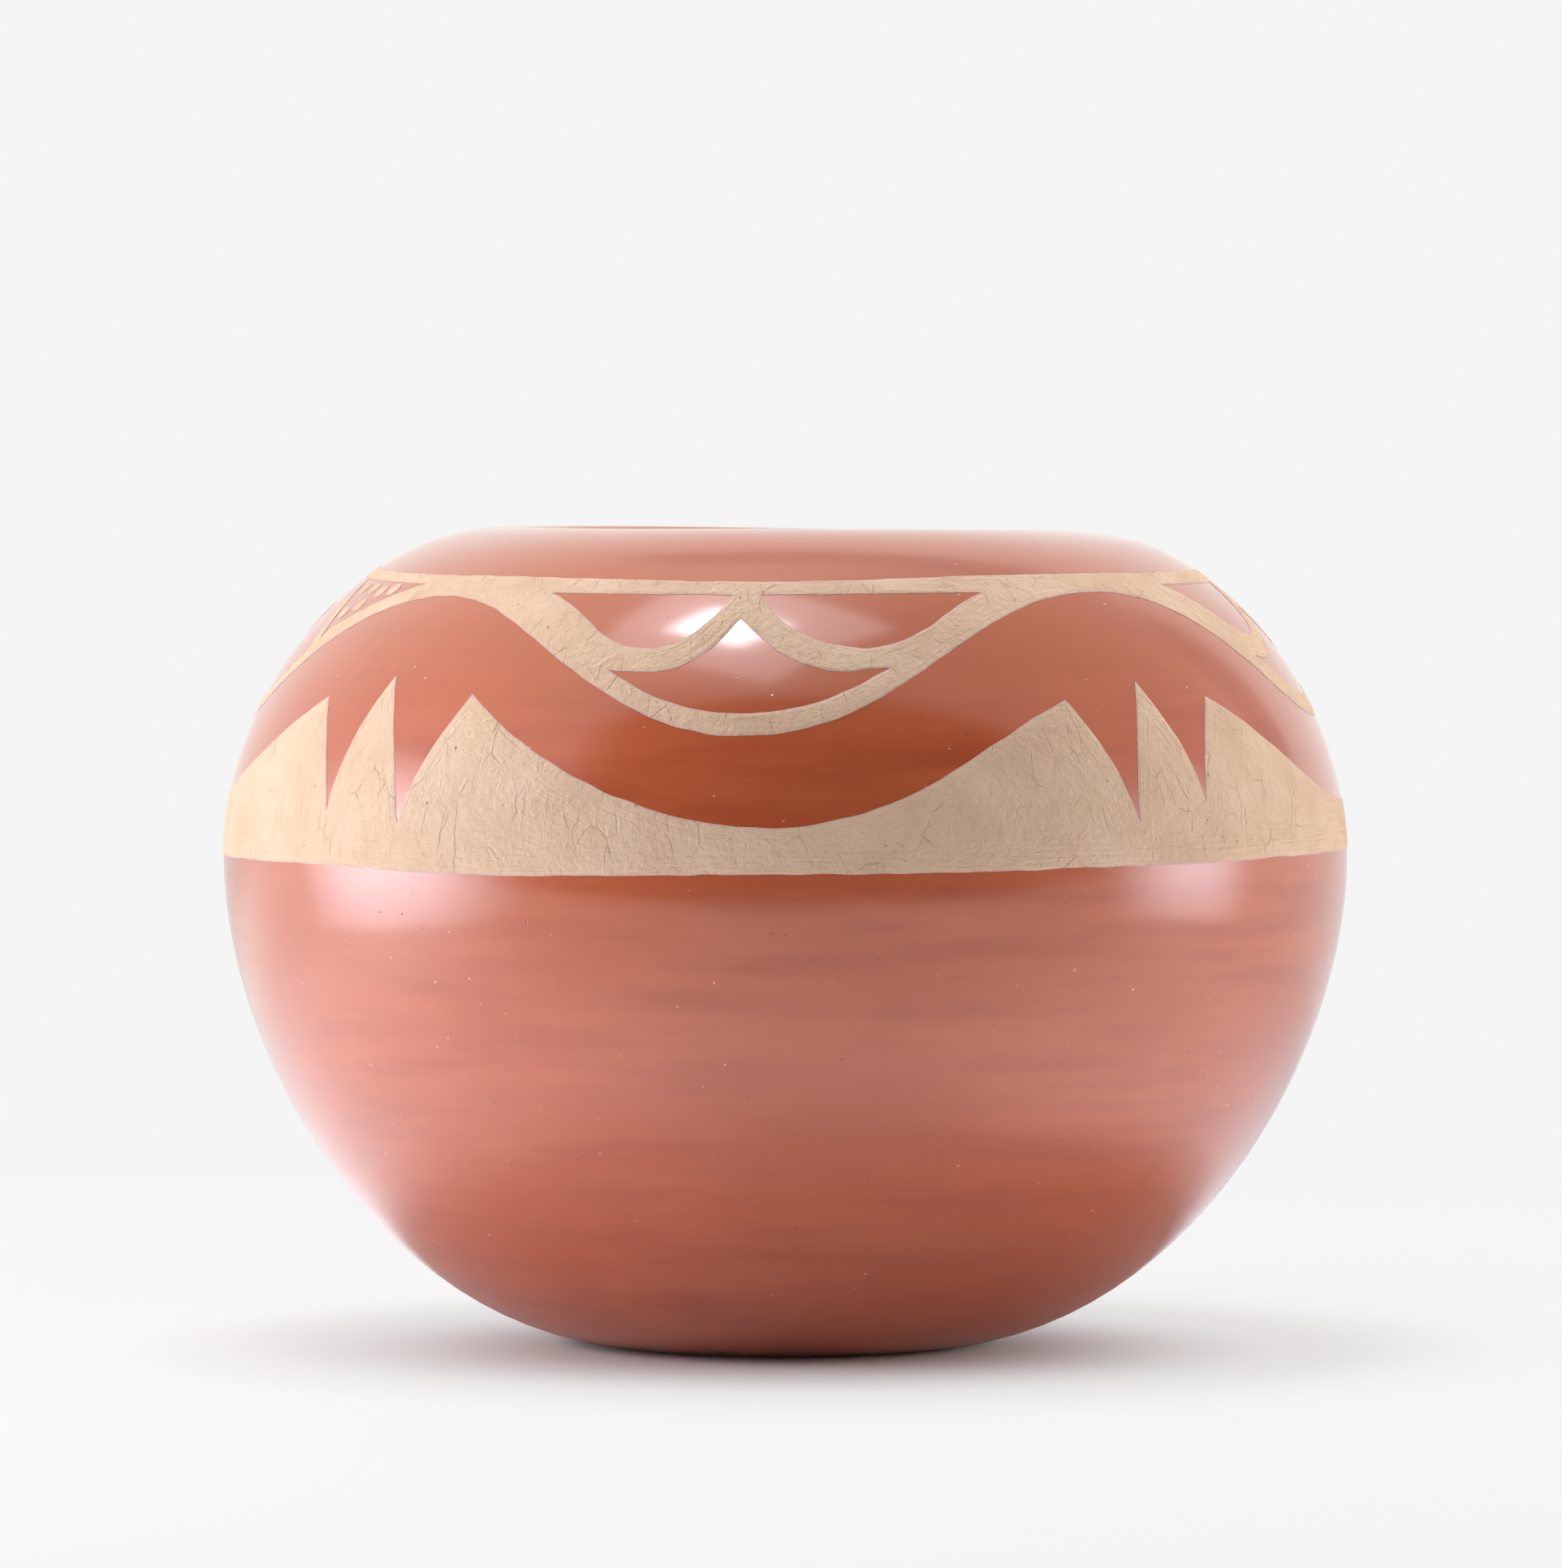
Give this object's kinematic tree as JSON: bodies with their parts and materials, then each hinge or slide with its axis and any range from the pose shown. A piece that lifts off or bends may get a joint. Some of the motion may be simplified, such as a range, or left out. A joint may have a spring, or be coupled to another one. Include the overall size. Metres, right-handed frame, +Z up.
{
  "type": "pottery jar",
  "caption": "Round-bellied earthenware jar with an incurved open mouth, a polished red slip coat and raised bands of buff slip on the shoulder.",
  "frame": {"origin": "centre of the flat foot, on the surface the jar stands on", "axes": "+Z up through the mouth, -Y the pictured front, +X to its right"},
  "size_m": [0.1525, 0.1526, 0.1103],
  "materials": {
    "clay": "matte",
    "red_slip": "polished",
    "buff_slip": "matte"
  },
  "bodies": {
    "root": {"jar_body": "clay", "red_slip_coat": "red_slip", "cloud_band": "buff_slip", "feather_band": "buff_slip", "rain_dab_01": "buff_slip", "rain_dab_02": "buff_slip", "rain_dab_03": "buff_slip", "rain_dab_04": "buff_slip", "rain_dab_05": "buff_slip", "rain_dab_06": "buff_slip", "rain_dab_07": "buff_slip", "rain_dab_08": "buff_slip", "rain_dab_09": "buff_slip", "rain_dab_10": "buff_slip", "rain_dab_11": "buff_slip", "rain_dab_12": "buff_slip", "rain_drop": "buff_slip"}
  },
  "joints": []
}
